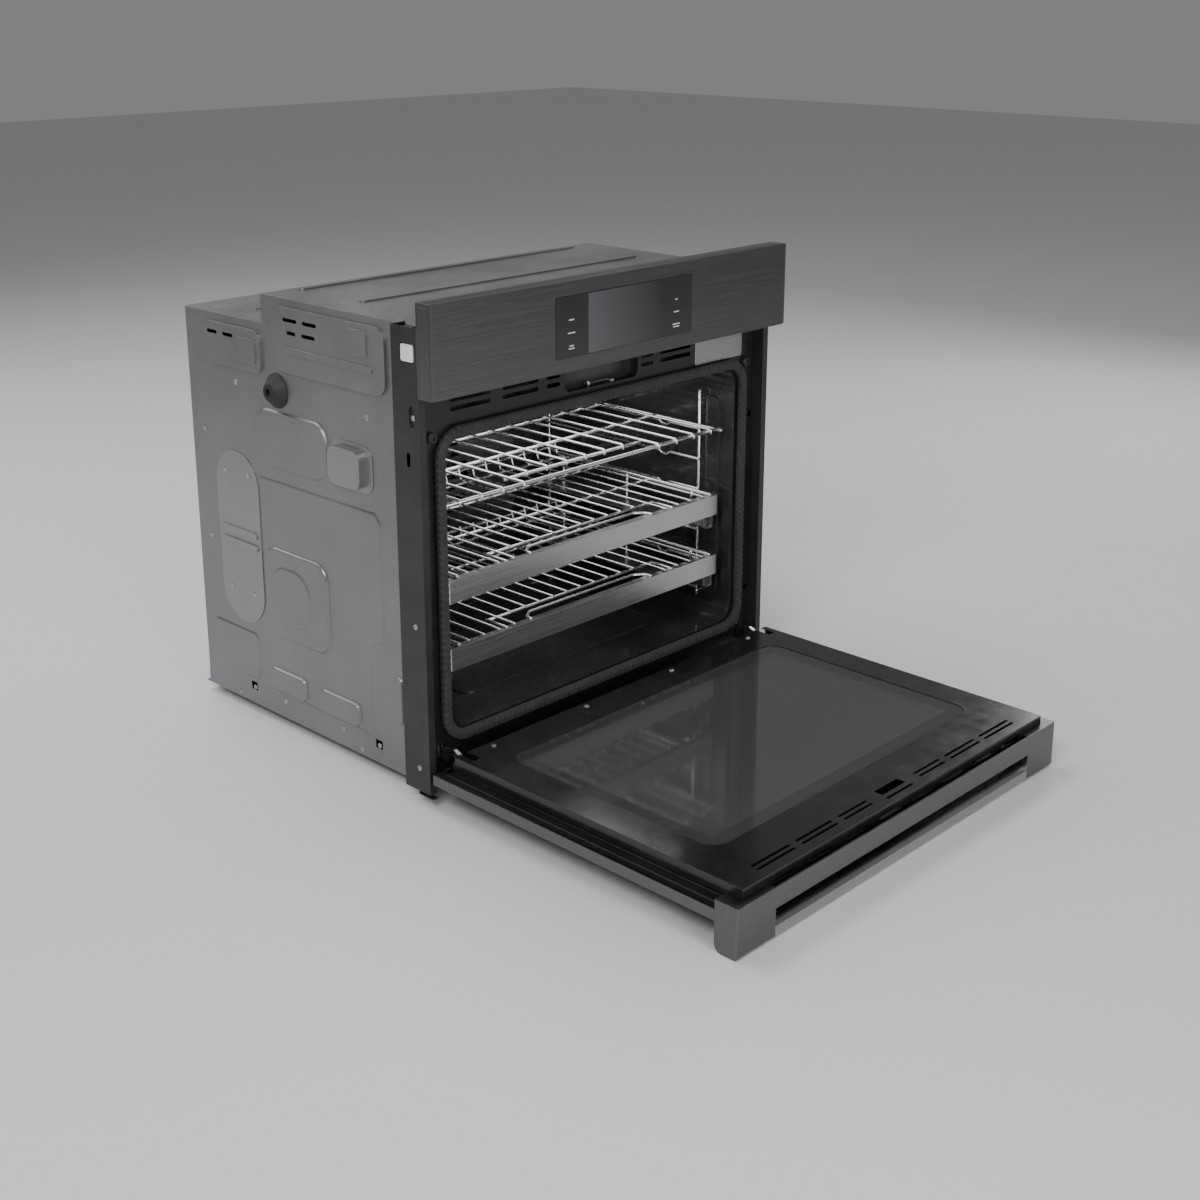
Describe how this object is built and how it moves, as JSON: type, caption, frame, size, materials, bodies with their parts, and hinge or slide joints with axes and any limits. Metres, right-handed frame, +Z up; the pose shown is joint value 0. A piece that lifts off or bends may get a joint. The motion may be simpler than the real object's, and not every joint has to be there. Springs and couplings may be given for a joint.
{
  "type": "wall oven",
  "caption": "Built-in single wall oven with a drop-down door shown open, a wire rack, glide-out racks, a touch control panel and a galvanised casing.",
  "frame": {"origin": "middle of the width, in the front plane of the side trims, at the level of the casing underside that rests on the cabinet shelf", "axes": "+X to the right as seen by someone facing the oven, +Y into the cabinet, +Z up"},
  "size_m": [0.76, 1.184, 0.745],
  "materials": {
    "galvanised_sheet": "hot-dip galvanised sheet with fine spangle, satin",
    "frame_enamel": "satin black paint",
    "grey_trim": "satin grey paint on folded sheet",
    "white_plastic": "matte white",
    "cavity_enamel": "glossy black-blue porcelain enamel",
    "mineral_wool": "fibrous, matte",
    "glass_fibre_rope": "braided grey glass fibre",
    "heater_sheath": "dark oxidised heater sheath",
    "bright_steel": "bright steel",
    "lamp_glass": "frosted borosilicate",
    "plated_sheet": "zinc-plated sheet, satin",
    "black_rubber": "matte black",
    "motor_steel": "plain zinc-plated steel",
    "dark_steel": "dark satin",
    "graphite_steel": "dark graphite brushed stainless steel",
    "touch_panel": "glossy dark control glass",
    "circuit_board": "green solder mask",
    "chrome_wire": "bright chrome-plated wire",
    "glide_steel": "satin zinc-plated steel",
    "zinc_screw": "zinc-plated",
    "brushed_bar": "lengthwise brushed stainless steel",
    "liner_enamel": "glossy black enamel",
    "window_glass": "dark tinted reflective glass",
    "clear_glass": "clear heat-reflective glass",
    "outer_black_glass": "black glass"
  },
  "bodies": {
    "base": {"base_tray": "galvanised_sheet", "side_panel_left": "galvanised_sheet", "side_panel_right": "galvanised_sheet", "back_panel": "galvanised_sheet", "upper_cover": "galvanised_sheet", "front_frame": "frame_enamel", "side_trim_left": "grey_trim", "side_trim_right": "grey_trim", "spacer_blocks": "white_plastic", "cavity_shell": "cavity_enamel", "fan_baffle": "cavity_enamel", "insulation": "mineral_wool", "door_gasket": "glass_fibre_rope", "broil_element": "heater_sheath", "ring_element": "heater_sheath", "heat_sensor": "bright_steel", "lamp_lens": "lamp_glass", "lamp_cover": "plated_sheet", "access_plate": "plated_sheet", "cone_grommet": "black_rubber", "fan_motors": "motor_steel", "blower_housing": "motor_steel", "latch_bracket": "dark_steel", "control_fascia": "graphite_steel", "fascia_caps": "graphite_steel", "touch_glass": "touch_panel", "control_board": "circuit_board", "terminal_box": "plated_sheet", "frame_bumpers": "black_rubber", "rack_supports": "chrome_wire", "glide_channels": "glide_steel", "hinge_receivers": "motor_steel", "hinge_arms": "bright_steel", "casing_screws": "zinc_screw"},
    "door": {"door_skin": "graphite_steel", "door_liner": "liner_enamel", "inner_window": "window_glass", "middle_glass": "clear_glass", "outer_glass": "outer_black_glass", "glass_cassette": "motor_steel", "hinge_channels": "motor_steel", "hinge_pins": "bright_steel", "hinge_springs": "motor_steel", "handle_bar": "graphite_steel", "handle_strip": "graphite_steel", "handle_caps": "graphite_steel", "door_screws": "zinc_screw"},
    "top_rack": {"top_rack": "chrome_wire"},
    "mid_rack": {"mid_rack": "chrome_wire", "mid_rack_bar": "brushed_bar", "mid_slides": "glide_steel"},
    "mid_glide": {"mid_glide": "glide_steel"},
    "low_rack": {"low_rack": "chrome_wire", "low_rack_bar": "brushed_bar", "low_slides": "glide_steel"},
    "low_glide": {"low_glide": "glide_steel"},
    "convection_fan": {"convection_fan": "motor_steel"},
    "blower_wheel": {"blower_wheel": "motor_steel"},
    "latch_hook": {"latch_hook": "bright_steel"}
  },
  "joints": [
    {"name": "door_hinge", "type": "hinge", "parent": "base", "child": "door", "pos_m": [0, -0.0218, 0.0418], "axis": [1, 0, 0], "range_deg": [-90, 0]},
    {"name": "top_rack_slide", "type": "slide", "parent": "base", "child": "top_rack", "axis": [0, -1, 0], "range_m": [0, 0.28]},
    {"name": "mid_rack_slide", "type": "slide", "parent": "base", "child": "mid_rack", "axis": [0, -1, 0], "range_m": [0, 0.33]},
    {"name": "mid_glide_slide", "type": "slide", "parent": "base", "child": "mid_glide", "axis": [0, -1, 0], "range_m": [0, 0.165]},
    {"name": "low_rack_slide", "type": "slide", "parent": "base", "child": "low_rack", "axis": [0, -1, 0], "range_m": [0, 0.33]},
    {"name": "low_glide_slide", "type": "slide", "parent": "base", "child": "low_glide", "axis": [0, -1, 0], "range_m": [0, 0.165]},
    {"name": "convection_fan_spin", "type": "hinge", "parent": "base", "child": "convection_fan", "pos_m": [0, 0.46, 0.307], "axis": [0, 1, 0], "continuous": true},
    {"name": "blower_spin", "type": "hinge", "parent": "base", "child": "blower_wheel", "pos_m": [0, 0.25, 0.62], "axis": [1, 0, 0], "continuous": true},
    {"name": "lock_swing", "type": "hinge", "parent": "base", "child": "latch_hook", "pos_m": [-0.016, 0.034, 0.553], "axis": [0, 0, 1], "range_deg": [-75, 0]}
  ],
  "couplings": [
    {"joint": "mid_glide_slide", "follows": "mid_rack_slide", "ratio": 0.5},
    {"joint": "low_glide_slide", "follows": "low_rack_slide", "ratio": 0.5}
  ]
}
